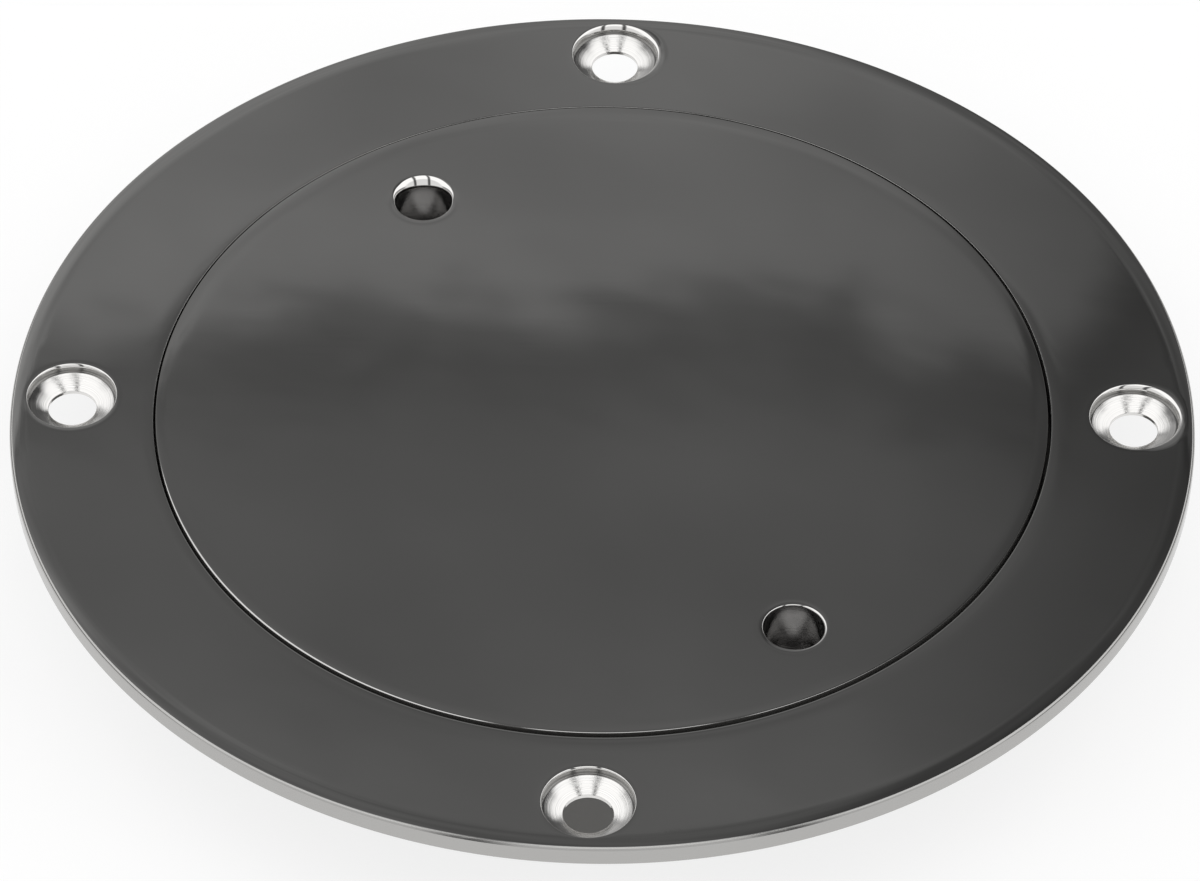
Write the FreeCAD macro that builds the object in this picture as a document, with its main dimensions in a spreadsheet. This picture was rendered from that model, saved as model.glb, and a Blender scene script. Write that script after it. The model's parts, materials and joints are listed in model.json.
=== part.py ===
import FreeCAD, Part
import Sketcher
import math
import os
from types import SimpleNamespace

# Deck inspection plate: a round flange that is screwed down on a boat's deck, closed by a flush
# screw lid with a rubber O-ring on its neck. Polished stainless steel, millimetres and degrees.
# The origin is the centre of the flange's underside, which lies on the deck, and +Z points up,
# out of the deck. The four screw holes lie on the X and Y axes.

os.makedirs("parts", exist_ok=True)
doc = FreeCAD.newDocument("deck_inspection_plate")

# Driving sizes. Radii and lengths are in millimetres, angles in degrees.
SIZES = [
    ("flange_radius", 70.0, "outside radius of the flange plate"),
    ("flange_thickness", 2.5, "height of the flange plate above the deck"),
    ("edge_roll_width", 2.2, "width of the outer band that polishing has rolled off"),
    ("edge_roll_drop", 0.12, "how far that band falls towards the edge"),
    ("flange_edge_radius", 0.4, "round on the flange's upper outer edge"),
    ("under_edge_radius", 0.2, "round on the flange's lower outer edge"),
    ("screw_edge_distance", 7.1, "from the flange's edge in to the centre of a screw hole"),
    ("screw_hole_count", 4, "number of screw holes"),
    ("screw_hole_radius", 2.85, "clear hole for a 5 mm screw"),
    ("countersink_radius", 4.95, "top radius of the countersunk cone"),
    ("countersink_depth", 1.0, "height of the countersunk cone"),
    ("countersink_rim_radius", 5.25, "radius of the shallow step over the cone"),
    ("countersink_rim_depth", 1.0, "depth of that step, which sinks the screw head in the plate"),
    ("border_width", 17.25, "from the flange's edge in to the lid's rim"),
    ("lid_gap", 0.35, "seam between the lid's rim and the flange"),
    ("seam_edge_radius", 0.15, "round on both edges of the seam"),
    ("rim_thickness", 3.0, "thickness of the lid's rim and disc"),
    ("ledge_width", 1.8, "ledge in the flange on which the rim seats"),
    ("ledge_lead_in", 0.3, "chamfer from the ledge into the seal bore"),
    ("neck_clearance", 0.4, "gap between the lid's neck and the seal bore"),
    ("seal_depth", 2.3, "from the seal bore to the bottom of the O-ring's groove"),
    ("ring_clearance", 0.1, "play of the O-ring across its section"),
    ("ring_width", 2.7, "width of the squeezed O-ring along the axis"),
    ("ring_side_clearance", 0.15, "play of the O-ring beside each wall of its groove"),
    ("ring_corner_radius", 0.95, "round of the squeezed O-ring's section"),
    ("land_above_groove", 0.7, "neck between the rim and the O-ring's groove"),
    ("land_below_groove", 0.8, "neck between the O-ring's groove and the thread"),
    ("seal_bore_margin", 0.2, "how far the seal bore runs past the neck"),
    ("bore_step", 0.4, "step from the seal bore in to the threaded bore"),
    ("thread_depth", 1.0, "height of the thread's ridges, on the skirt and in the bore"),
    ("thread_clearance", 0.15, "gap between a ridge's crest and the wall that it faces"),
    ("skirt_wall", 3.15, "wall of the lid's threaded skirt"),
    ("skirt_end_gap", 1.0, "how far the skirt ends above the collar's lower edge"),
    ("skirt_chamfer", 0.5, "chamfer on the skirt's lower edge"),
    ("skirt_fillet", 2.0, "cast fillet between the lid's disc and its skirt"),
    ("collar_wall", 4.1, "wall of the flange's collar at its lower end"),
    ("collar_depth", 14.0, "length of the collar below the deck line"),
    ("collar_chamfer", 0.5, "chamfers on the collar's lower edge"),
    ("collar_fillet", 1.2, "cast fillet between the collar and the flange"),
    ("key_hole_inset", 4.6, "from the skirt's inner wall in to the centre of a key hole"),
    ("key_hole_count", 2, "number of blind holes for the pin key"),
    ("key_hole_radius", 3.5, "radius of a key hole"),
    ("key_hole_depth", 7.5, "depth of a key hole at its full width"),
    ("key_hole_edge_radius", 0.25, "round on a key hole's upper edge"),
    ("boss_wall", 2.0, "metal round each key hole"),
    ("boss_floor", 1.2, "metal under the point of each key hole"),
    ("boss_edge_radius", 0.8, "round on the lower edge of a key hole's boss"),
    ("lid_home_angle", 122.8, "where the first key hole stands with the lid screwed home"),
]


class Length:
    """A number together with the sheet formula that it comes from, so that sums of sizes keep both."""

    def __init__(self, value, formula):
        self.value = value
        self.formula = formula

    def __add__(self, other):
        return combined(self, "+", other, self.value + number(other))

    def __sub__(self, other):
        return combined(self, "-", other, self.value - number(other))

    def __mul__(self, other):
        return combined(self, "*", other, self.value * number(other))

    def __truediv__(self, other):
        return combined(self, "/", other, self.value / number(other))

    def __neg__(self):
        return Length(-self.value, f"(-{self.formula})")


def number(item):
    """The plain value of a Length or of a bare number."""
    return item.value if isinstance(item, Length) else item


def combined(left, sign, right, value):
    """A Length for left sign right."""
    right_formula = right.formula if isinstance(right, Length) else str(right)
    return Length(value, f"({left.formula} {sign} {right_formula})")


# The sheet holds the driving sizes, and size.NAME is the Length that reads the cell called NAME.
sheet = doc.addObject("Spreadsheet::Sheet", "sizes")
size = SimpleNamespace()
for row, (name, value, note) in enumerate(SIZES, start=1):
    sheet.set(f"A{row}", name)
    sheet.set(f"B{row}", str(value))
    sheet.set(f"C{row}", note)
    sheet.setAlias(f"B{row}", name)
    setattr(size, name, Length(value, f"sizes.{name}"))
doc.recompute()

# Places that more than one piece shares, so that what fits together moves together.
AXIS = Length(0, "0")
DECK = Length(0, "0")
TOP = size.flange_thickness
OVER_TOP = TOP + 1
LID_RADIUS = size.flange_radius - size.border_width
POCKET_RADIUS = LID_RADIUS + size.lid_gap
LEDGE = TOP - size.rim_thickness
SEAL_BORE_RADIUS = POCKET_RADIUS - size.ledge_width
GROOVE_RADIUS = SEAL_BORE_RADIUS - size.seal_depth
GROOVE_TOP = LEDGE - size.land_above_groove
GROOVE_BOTTOM = GROOVE_TOP - size.ring_width - size.ring_side_clearance * 2
NECK_BOTTOM = GROOVE_BOTTOM - size.land_below_groove
BORE_RADIUS = SEAL_BORE_RADIUS - size.bore_step
COLLAR_BOTTOM = -size.collar_depth

# A drill with the usual point of 118 degrees leaves a cone 0.6 of its radius deep.
DRILL_POINT = 0.6


def new_body(label):
    """A named piece of the plate."""
    body = doc.addObject("PartDesign::Body", label)
    body.Label = label
    return body


def origin_feature(body, role):
    """The body's own origin plane or axis with this role."""
    return next(item for item in body.Origin.OriginFeatures if item.Role == role)


def outline(body, name, corners, axis_distance=AXIS, crown=None):
    """A closed sketch on the body's XZ plane through corners of {name: (radius, height)}, with its
    own vertical axis at axis_distance from the body's. The side that starts at the corner named
    crown is an arc that leaves this corner level and falls to the next one. The others are straight."""
    sketch = body.newObject("Sketcher::SketchObject", name)
    sketch.AttachmentSupport = [(origin_feature(body, "XZ_Plane"), "")]
    sketch.MapMode = "FlatFace"
    sketch.setExpression("AttachmentOffset.Base.x", axis_distance.formula)
    places = list(corners.values())
    points = [FreeCAD.Vector(radius.value, height.value, 0) for radius, height in places]
    # A line runs from its point 1 to its point 2. The arc falls clockwise, so it runs from 2 to 1.
    first_point = [2 if corner == crown else 1 for corner in corners]
    for index, corner in enumerate(corners):
        start = points[index]
        end = points[(index + 1) % len(points)]
        if corner == crown:
            sketch.addGeometry(falling_arc(start, end), False)
        else:
            sketch.addGeometry(Part.LineSegment(start, end), False)
    for index in range(len(points)):
        following = (index + 1) % len(points)
        meeting = (index, 3 - first_point[index], following, first_point[following])
        sketch.addConstraint(Sketcher.Constraint("Coincident", *meeting))
    for index, (corner, (radius, height)) in enumerate(corners.items()):
        hold(sketch, f"{corner}_radius", "DistanceX", index, first_point[index], radius)
        hold(sketch, f"{corner}_height", "DistanceY", index, first_point[index], height)
        if corner == crown:
            hold(sketch, f"{corner}_centre", "DistanceX", index, 3, radius)
    doc.recompute()
    return sketch


def falling_arc(start, end):
    """An arc whose centre lies straight below its start, so that it leaves the start level."""
    across = end.x - start.x
    fall = start.y - end.y
    radius = (across**2 + fall**2) / (2 * fall)
    centre = FreeCAD.Vector(start.x, start.y - radius, 0)
    circle = Part.Circle(centre, FreeCAD.Vector(0, 0, 1), radius)
    return Part.ArcOfCircle(circle, math.atan2(end.y - centre.y, across), math.pi / 2)


def hold(sketch, name, kind, side, point, length):
    """Ties one point of a side to the sheet along one direction, or lays it on the sketch's axis."""
    if length.formula == "0":
        axis = -2 if kind == "DistanceX" else -1
        sketch.addConstraint(Sketcher.Constraint("PointOnObject", side, point, axis))
        return
    place = Sketcher.Constraint(kind, -1, 1, side, point, length.value)
    sketch.renameConstraint(sketch.addConstraint(place), name)
    sketch.setExpression(f"Constraints.{name}", length.formula)


def turned(body, kind, name, sketch):
    """Turns an outline about its sketch's vertical axis: a Revolution adds it, a Groove cuts it."""
    before = body.Shape.Volume if body.Tip else 0.0
    feature = body.newObject(f"PartDesign::{kind}", name)
    feature.Profile = sketch
    feature.ReferenceAxis = (sketch, ["V_Axis"])
    feature.Angle = 360
    doc.recompute()
    change = body.Shape.Volume - before
    if (change > 0) != (kind == "Revolution"):
        raise RuntimeError(f"{name} changed the volume by {change:.3f} mm3")
    return feature


def repeated(body, name, features, count):
    """Repeats features evenly about the body's Z axis."""
    pattern = body.newObject("PartDesign::PolarPattern", name)
    pattern.Originals = features
    pattern.Axis = (origin_feature(body, "Z_Axis"), [""])
    pattern.Angle = 360
    pattern.setExpression("Occurrences", count.formula)
    body.Tip = pattern
    doc.recompute()
    return pattern


def rounded(body, name, places, radius, axis_distance=AXIS):
    """Rounds the body's circular edges at these places of (radius, height) about vertical axes that
    lie at axis_distance from the body's own."""
    base = body.Tip
    names = []
    for index, edge in enumerate(base.Shape.Edges, start=1):
        curve = edge.Curve
        if not isinstance(curve, Part.Circle) or abs(curve.Axis.z) < 0.999:
            continue
        off_axis = math.hypot(curve.Center.x, curve.Center.y) - axis_distance.value
        for wanted, height in places:
            misses = (curve.Radius - wanted.value, curve.Center.z - height.value, off_axis)
            if max(abs(miss) for miss in misses) < 1e-4:
                names.append(f"Edge{index}")
    if len(names) < len(places):
        raise RuntimeError(f"{name} found {len(names)} edges for {len(places)} places")
    fillet = body.newObject("PartDesign::Fillet", name)
    fillet.Base = (base, names)
    fillet.setExpression("Radius", radius.formula)
    doc.recompute()
    return fillet


def make_deck_flange():
    """The flange plate and its collar, cast in one and machined: a pocket and ledge for the lid,
    a seal bore, a threaded bore (its ridges are not modelled) and four countersunk screw holes."""
    body = new_body("deck_flange")
    seal_bore_bottom = NECK_BOTTOM - size.seal_bore_margin
    collar_radius = BORE_RADIUS + size.collar_wall
    chamfer_height = COLLAR_BOTTOM + size.collar_chamfer
    corners = {
        "pocket_top": (POCKET_RADIUS, TOP),
        "roll_start": (size.flange_radius - size.edge_roll_width, TOP),
        "edge_top": (size.flange_radius, TOP - size.edge_roll_drop),
        "edge_bottom": (size.flange_radius, DECK),
        "collar_root": (collar_radius, DECK),
        "collar_low": (collar_radius, chamfer_height),
        "collar_outer": (collar_radius - size.collar_chamfer, COLLAR_BOTTOM),
        "collar_inner": (BORE_RADIUS + size.collar_chamfer, COLLAR_BOTTOM),
        "bore_bottom": (BORE_RADIUS, chamfer_height),
        "bore_top": (BORE_RADIUS, seal_bore_bottom - size.bore_step),
        "seal_bore_bottom": (SEAL_BORE_RADIUS, seal_bore_bottom),
        "seal_bore_top": (SEAL_BORE_RADIUS, LEDGE - size.ledge_lead_in),
        "ledge_inner": (SEAL_BORE_RADIUS + size.ledge_lead_in, LEDGE),
        "ledge_outer": (POCKET_RADIUS, LEDGE),
    }
    section = outline(body, "flange_section", corners, crown="roll_start")
    turned(body, "Revolution", "flange_and_collar", section)
    rounded(body, "flange_edge", [corners["edge_top"]], size.flange_edge_radius)
    rounded(body, "under_edge", [corners["edge_bottom"]], size.under_edge_radius)
    rounded(body, "seam_edge", [corners["pocket_top"]], size.seam_edge_radius)
    rounded(body, "collar_fillet", [corners["collar_root"]], size.collar_fillet)

    screw_circle_radius = size.flange_radius - size.screw_edge_distance
    cone_top = TOP - size.countersink_rim_depth
    under_deck = DECK - size.flange_thickness
    cut = {
        "axis_top": (AXIS, OVER_TOP),
        "rim_top": (size.countersink_rim_radius, OVER_TOP),
        "rim_bottom": (size.countersink_rim_radius, cone_top),
        "cone_top": (size.countersink_radius, cone_top),
        "cone_bottom": (size.screw_hole_radius, cone_top - size.countersink_depth),
        "hole_bottom": (size.screw_hole_radius, under_deck),
        "axis_bottom": (AXIS, under_deck),
    }
    hole_section = outline(body, "screw_hole_section", cut, screw_circle_radius)
    screw_hole = turned(body, "Groove", "screw_hole", hole_section)
    repeated(body, "screw_holes", [screw_hole], size.screw_hole_count)
    return body


def make_screw_lid():
    """The lid, cast in one and machined: a flush disc with two blind key holes in their bosses, a
    neck with the O-ring's groove, and a threaded skirt (its ridges are not modelled)."""
    body = new_body("screw_lid")
    neck_radius = SEAL_BORE_RADIUS - size.neck_clearance
    skirt_radius = BORE_RADIUS - size.thread_clearance - size.thread_depth
    skirt_inner_radius = skirt_radius - size.skirt_wall
    skirt_bottom = COLLAR_BOTTOM + size.skirt_end_gap
    corners = {
        "centre_top": (AXIS, TOP),
        "rim_top": (LID_RADIUS, TOP),
        "rim_bottom": (LID_RADIUS, LEDGE),
        "neck_top": (neck_radius, LEDGE),
        "groove_lip_top": (neck_radius, GROOVE_TOP),
        "groove_top": (GROOVE_RADIUS, GROOVE_TOP),
        "groove_bottom": (GROOVE_RADIUS, GROOVE_BOTTOM),
        "groove_lip_bottom": (neck_radius, GROOVE_BOTTOM),
        "neck_bottom": (neck_radius, NECK_BOTTOM),
        "skirt_top": (skirt_radius, NECK_BOTTOM),
        "skirt_low": (skirt_radius, skirt_bottom + size.skirt_chamfer),
        "skirt_outer": (skirt_radius - size.skirt_chamfer, skirt_bottom),
        "skirt_inner": (skirt_inner_radius, skirt_bottom),
        "disc_edge": (skirt_inner_radius, LEDGE),
        "disc_centre": (AXIS, LEDGE),
    }
    section = outline(body, "lid_section", corners)
    turned(body, "Revolution", "disc_and_skirt", section)
    rounded(body, "lid_edge", [corners["rim_top"]], size.seam_edge_radius)
    rounded(body, "skirt_fillet", [corners["disc_edge"]], size.skirt_fillet)

    key_circle_radius = skirt_inner_radius - size.key_hole_inset
    hole_bottom = TOP - size.key_hole_depth
    point_bottom = hole_bottom - size.key_hole_radius * DRILL_POINT
    boss_bottom = point_bottom - size.boss_floor
    boss_radius = size.key_hole_radius + size.boss_wall
    boss_corners = {
        "boss_axis_top": (AXIS, TOP - size.rim_thickness / 2),
        "boss_top": (boss_radius, TOP - size.rim_thickness / 2),
        "boss_bottom": (boss_radius, boss_bottom),
        "boss_axis_bottom": (AXIS, boss_bottom),
    }
    boss_section = outline(body, "key_boss_section", boss_corners, key_circle_radius)
    boss = turned(body, "Revolution", "key_boss", boss_section)
    hole_corners = {
        "hole_axis_top": (AXIS, OVER_TOP),
        "hole_top": (size.key_hole_radius, OVER_TOP),
        "hole_bottom": (size.key_hole_radius, hole_bottom),
        "hole_point": (AXIS, point_bottom),
    }
    hole_section = outline(body, "key_hole_section", hole_corners, key_circle_radius)
    key_hole = turned(body, "Groove", "key_hole", hole_section)
    repeated(body, "key_holes", [boss, key_hole], size.key_hole_count)
    hole_edge = [(size.key_hole_radius, TOP)]
    boss_edge = [(boss_radius, boss_bottom)]
    rounded(body, "key_hole_edges", hole_edge, size.key_hole_edge_radius, key_circle_radius)
    rounded(body, "boss_edges", boss_edge, size.boss_edge_radius, key_circle_radius)
    body.setExpression("Placement.Rotation.Angle", size.lid_home_angle.formula)
    return body


def make_lid_o_ring():
    """The rubber O-ring in the lid's groove, squeezed against the seal bore to a rounded block."""
    body = new_body("lid_o_ring")
    inner = GROOVE_RADIUS + size.ring_clearance
    outer = SEAL_BORE_RADIUS - size.ring_clearance
    upper = GROOVE_TOP - size.ring_side_clearance
    lower = upper - size.ring_width
    corners = {
        "inner_top": (inner, upper),
        "outer_top": (outer, upper),
        "outer_bottom": (outer, lower),
        "inner_bottom": (inner, lower),
    }
    section = outline(body, "ring_section", corners)
    turned(body, "Revolution", "ring_block", section)
    rounded(body, "ring_rounding", corners.values(), size.ring_corner_radius)
    return body


pieces = [make_deck_flange(), make_screw_lid(), make_lid_o_ring()]
doc.recompute()

# Nothing is written unless every object is sound and every piece is one valid solid.
for item in doc.Objects:
    if "Invalid" in item.State or "Error" in item.State:
        raise RuntimeError(f"{item.Name} failed: {item.State}")
for piece in pieces:
    if piece.Shape.isNull() or not piece.Shape.isValid() or len(piece.Shape.Solids) != 1:
        raise RuntimeError(f"{piece.Label} has no sound solid")
for piece in pieces:
    piece.Shape.exportStep(os.path.join("parts", f"{piece.Label}.step"))
    print(f"{piece.Label}: {piece.Shape.Volume / 1000:.2f} cm3")
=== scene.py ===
import json
import math

import bmesh
import bpy
import numpy as np
from mathutils import Matrix, Vector


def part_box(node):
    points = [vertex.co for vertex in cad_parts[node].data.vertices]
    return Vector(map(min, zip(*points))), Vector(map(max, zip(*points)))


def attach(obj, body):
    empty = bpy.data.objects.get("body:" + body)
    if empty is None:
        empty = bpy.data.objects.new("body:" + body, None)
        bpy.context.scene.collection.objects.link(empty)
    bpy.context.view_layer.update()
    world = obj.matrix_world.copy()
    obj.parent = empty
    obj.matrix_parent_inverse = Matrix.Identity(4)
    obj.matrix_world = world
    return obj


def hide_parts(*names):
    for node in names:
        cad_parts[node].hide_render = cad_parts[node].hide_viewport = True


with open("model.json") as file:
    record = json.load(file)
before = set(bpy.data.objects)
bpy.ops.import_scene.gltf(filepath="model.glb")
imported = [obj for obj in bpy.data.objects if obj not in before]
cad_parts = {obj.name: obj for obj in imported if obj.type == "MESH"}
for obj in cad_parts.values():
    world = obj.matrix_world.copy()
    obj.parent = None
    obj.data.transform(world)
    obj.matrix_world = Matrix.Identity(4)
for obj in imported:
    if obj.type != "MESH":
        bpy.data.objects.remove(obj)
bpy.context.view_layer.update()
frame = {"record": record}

# Deck flange. The round plate that is screwed to the deck and, under it, the collar that takes the
# lid's thread: one stainless steel casting. Its top and edge are mirror-polished, its bore and its
# screw holes are turned bright, and its underside is left as it was blasted.
MM = 0.001  # Sizes are in millimetres, and the meshes are in metres.
FULL_TURN = 2 * math.pi
POLISHED, TURNED, BLASTED, EDGE, RIM, SEAM, STEP = range(7)
mounts = {mount["name"]: mount for mount in frame["record"]["mounts"]}
flange_low, flange_high = (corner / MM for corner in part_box("deck_flange"))
flange_radius = flange_high.x
plate_top = flange_high.z
collar_bottom = flange_low.z
collar_radius = mounts["collar"]["dims"]["r_mm"]
collar_chamfer = 0.5
collar_fillet = 1.2
screw_circle = mounts["deck_screws"]["dims"]["pcd_mm"] / 2
screw_hole_radius = mounts["deck_screws"]["dims"]["hole_r_mm"]
countersink_radius = 4.95
countersink_depth = 1.0
countersink_rim_radius = 5.25
countersink_rim_depth = 1.0
border_width = 17.25
lid_gap = 0.35
pocket_radius = flange_radius - border_width + lid_gap
ledge_height = -0.5
ledge_width = 1.8
ledge_lead_in = 0.3
ledge_middle = pocket_radius - 0.6
seal_bore_radius = pocket_radius - ledge_width
seal_bore_bottom = -5.2
bore_step = 0.4
bore_radius = seal_bore_radius - bore_step
bore_top = seal_bore_bottom - bore_step
pocket_edge_radius = 0.045
fine_edge_radius = 0.1
edge_roll_width = 2.2
edge_roll_drop = 0.12
edge_roll_radius = (edge_roll_width**2 + edge_roll_drop**2) / (2 * edge_roll_drop)
edge_roll_start = flange_radius - edge_roll_width
upper_edge_radius = 0.4
lower_edge_radius = 0.2

# The round between the rolled outer band and the side wall touches both: its centre lies its own
# radius inside each of them.
corner_centre_radius = flange_radius - upper_edge_radius
lean = math.asin((corner_centre_radius - edge_roll_start) / (edge_roll_radius - upper_edge_radius))
roll_centre_height = plate_top - edge_roll_radius
corner_centre_height = roll_centre_height + (edge_roll_radius - upper_edge_radius) * math.cos(lean)
corner_angles = np.linspace(0, math.pi / 2 - lean, 9)
corner_arc = np.stack([
    corner_centre_radius + upper_edge_radius * np.cos(corner_angles),
    corner_centre_height + upper_edge_radius * np.sin(corner_angles),
], axis=1)

# How far the polishing wheel has pulled the metal down beside the seam and beside a screw hole,
# and over what width. Off the right and the far hole it has dragged it further, to the right. The
# fall beside a hole fades out over the last of these widths before the plate's edge.
seam_wheel_drop = 0.03
seam_wheel_reach = 2.6
hole_wheel_drop = 0.01
hole_wheel_reach = 1.0
hole_drag_drop = 0.12
hole_drag_reach = 2.0
hole_drag_angle = math.radians(10)
hole_drag_end = 1.2


def wheel_fall(distance, drop, reach):
    """How far the polished surface lies under the flat at a distance from an edge: the drop at the
    edge, times the cube of what is left of the reach as a share."""
    return drop * (1 - np.clip(distance / reach, 0, 1)) ** 3


def plate_height(x, y):
    """Height of the flange's top: level, less the arc that the outer band falls by, less the
    wheel's fall beside the seam, all of it at the near side and none at the far side, and beside
    the nearest of the four screw holes, which lie on the X and Y axes. Beside the right and the far
    hole, where x + y is above zero, it grows with the cosine of the angle from the drag."""
    radius = np.hypot(x, y)
    past_start = np.clip(radius - edge_roll_start, 0, None)
    edge_fall = edge_roll_radius - np.sqrt(edge_roll_radius**2 - past_start**2)
    near_share = (1 - y / radius) / 2
    seam_fall = wheel_fall(radius - pocket_radius, near_share * seam_wheel_drop, seam_wheel_reach)
    on_x_axis = abs(x) > abs(y)
    from_hole_x = x - np.where(on_x_axis, np.sign(x) * screw_circle, 0)
    from_hole_y = y - np.where(on_x_axis, 0, np.sign(y) * screw_circle)
    distance = np.hypot(from_hole_x, from_hole_y)
    along_drag = from_hole_x * math.cos(hole_drag_angle) + from_hole_y * math.sin(hole_drag_angle)
    drag = np.clip(along_drag / distance, 0, 1) * (x + y > 0)
    drop = hole_wheel_drop + (hole_drag_drop - hole_wheel_drop) * drag
    reach = hole_wheel_reach + (hole_drag_reach - hole_wheel_reach) * drag
    before_edge = np.clip((corner_arc[-1, 0] - radius) / hole_drag_end, 0, 1)
    hole_fall = before_edge * wheel_fall(distance - countersink_rim_radius, drop, reach)
    return plate_top - edge_fall - seam_fall - hole_fall


def rounded_profile(corners, steps=5, beside=0.05):
    """The line through corners of (radius, height, rounding), as rows of (radius, height). A corner
    with a rounding becomes the arc of that radius that touches both of its sides. Where a side has
    room, one more row lies a little way beside the arc, so that the arc's shading stops there."""
    corners = np.array(corners, float)
    rows = [corners[0, :2]]
    for before, corner, after in zip(corners[:-2], corners[1:-1], corners[2:]):
        place, rounding = corner[:2], corner[2]
        if rounding == 0:
            rows.append(place)
            continue
        back_length = np.linalg.norm(before[:2] - place)
        ahead_length = np.linalg.norm(after[:2] - place)
        back = (before[:2] - place) / back_length
        ahead = (after[:2] - place) / ahead_length
        half_angle = math.acos(back @ ahead) / 2
        reach = rounding / math.tan(half_angle)
        middle = (back + ahead) / np.linalg.norm(back + ahead)
        centre = place + middle * rounding / math.sin(half_angle)
        first = place + back * reach - centre
        last = place + ahead * reach - centre
        start = math.atan2(first[1], first[0])
        sweep = (math.atan2(last[1], last[0]) - start + math.pi) % FULL_TURN - math.pi
        angles = start + sweep * np.linspace(0, 1, steps + 1)
        if back_length > reach + 2 * beside:
            rows.append(place + back * (reach + beside))
        rows.extend(centre + rounding * np.stack([np.cos(angles), np.sin(angles)], axis=1))
        if ahead_length > reach + 2 * beside:
            rows.append(place + ahead * (reach + beside))
    rows.append(corners[-1, :2])
    return np.array(rows)


def patch(x, y, z, along, finish):
    """One sheet of a piece's surface, from a grid of points: the points, its four-sided faces, its
    map, whose second number is the distance along the profile, and the number of its finish."""
    x, y, z, along = np.broadcast_arrays(x, y, z, along)
    rows, columns = x.shape
    corner = np.arange(rows * columns).reshape(rows, columns)
    quads = [corner[:-1, :-1], corner[:-1, 1:], corner[1:, 1:], corner[1:, :-1]]
    around = np.broadcast_to(np.linspace(0, 1, columns), x.shape)
    points = np.stack([x, y, z], axis=-1).reshape(-1, 3)
    faces = np.stack(quads, axis=-1).reshape(-1, 4)
    return points, faces, np.stack([around, along], axis=-1).reshape(-1, 2), finish


def spread(x, y, height, finish):
    """A sheet that lies over the grid x, y at the height that a function gives for each point."""
    return patch(x, y, height(x, y), np.hypot(x, y), finish)


def turned(profile, angles, finish, axis=(0, 0), rim=None, floor=None):
    """A profile of (radius, height) rows carried round an upright axis. Where rim gives the height
    at which the first row has to start at each angle, the rows above floor are stretched to it."""
    radius, height = profile[:, :1], profile[:, 1:]
    if rim is not None:
        stretch = (rim - floor) / (profile[0, 1] - floor)
        height = np.where(height > floor, floor + (height - floor) * stretch, height)
    steps = np.linalg.norm(np.diff(profile, axis=0), axis=1)
    along = np.concatenate([[0], np.cumsum(steps)])[:, None]
    x = axis[0] + radius * np.cos(angles)
    y = axis[1] + radius * np.sin(angles)
    return patch(x, y, height, along, finish)


def ring_parts(first, count, half_width, fine, coarse):
    """The angles of a ring in radians, from degrees. Each of count sectors, half_width to each side
    of a hole, is stepped finely and the stretches between them coarsely. Gives the whole ring, the
    holes' sectors and the stretches."""
    centres = first + 360 / count * np.arange(count)
    rest = 360 / count - half_width
    sectors = [np.radians(c + np.arange(-half_width, half_width + fine / 2, fine)) for c in centres]
    stretches = [np.radians(c + np.arange(half_width, rest + coarse / 2, coarse)) for c in centres]
    whole = [part for pair in zip(sectors, stretches) for part in (pair[0][:-1], pair[1][:-1])]
    return np.concatenate([*whole, stretches[-1][-1:]]), sectors, stretches


def sector_edge(radii, angles):
    """The closed edge of a sector of a ring as x and y: along its inner arc, out along its last
    side, back along its outer arc and in along its first side."""
    inner, outer = np.full(len(angles), radii[0]), np.full(len(angles) - 1, radii[-1])
    far, near = np.full(len(radii) - 1, angles[-1]), np.full(len(radii) - 1, angles[0])
    radius = np.concatenate([inner, radii[1:], outer, radii[-2::-1]])
    angle = np.concatenate([angles, far, angles[-2::-1], near])
    return radius * np.cos(angle), radius * np.sin(angle)


def rays_from(centre, edge):
    """The rays from a hole's axis to the points of its sector's edge: their angles and lengths."""
    across_x, across_y = edge[0] - centre[0], edge[1] - centre[1]
    return np.arctan2(across_y, across_x), np.hypot(across_x, across_y)


def around_hole(centre, rays, rings, height, finish):
    """The sheet between a hole and the edge of its sector. The first rows lie at the distances in
    rings along each ray, and the rest divide what is left of it, closest together at the hole."""
    angles, lengths = rays
    near = np.minimum(rings, lengths)
    shares = np.linspace(0, 1, 13)[1:, None] ** 1.5
    distance = np.concatenate([near, near[-1] + (lengths - near[-1]) * shares])
    x = centre[0] + distance * np.cos(angles)
    y = centre[1] + distance * np.sin(angles)
    return spread(x, y, height, finish)


def rolled_edge(centre, rays, radius, width, drop, height):
    """The edge that the wheel has rolled over between the top and a hole of this radius: on each
    ray a quarter of an ellipse of that width and drop. Gives the distance at which the top ends,
    the height at which the hole's wall starts, and the sheet."""
    start = radius + width
    rim = height(centre[0] + start * np.cos(rays[0]), centre[1] + start * np.sin(rays[0]))
    turn = np.linspace(0, math.pi / 2, 9)[:, None]
    distance = radius + width * (1 - np.sin(turn))
    x = centre[0] + distance * np.cos(rays[0])
    y = centre[1] + distance * np.sin(rays[0])
    return start, rim - drop, patch(x, y, rim - drop * (1 - np.cos(turn)), width * turn, RIM)


thread_pitch = 3.0
thread_depth = 1.0
# A thread's section over one pitch: how far along the axis, and what share of the ridge's height.
THREAD_SECTION = np.array([
    (0.1, 0.0), (1.1, 0.0), (1.3, 0.17), (1.7, 0.83),
    (1.9, 1.0), (2.3, 1.0), (2.5, 0.83), (2.9, 0.17),
])
thread_run_out = 0.9
bore_crest_radius = bore_radius - thread_depth


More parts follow.
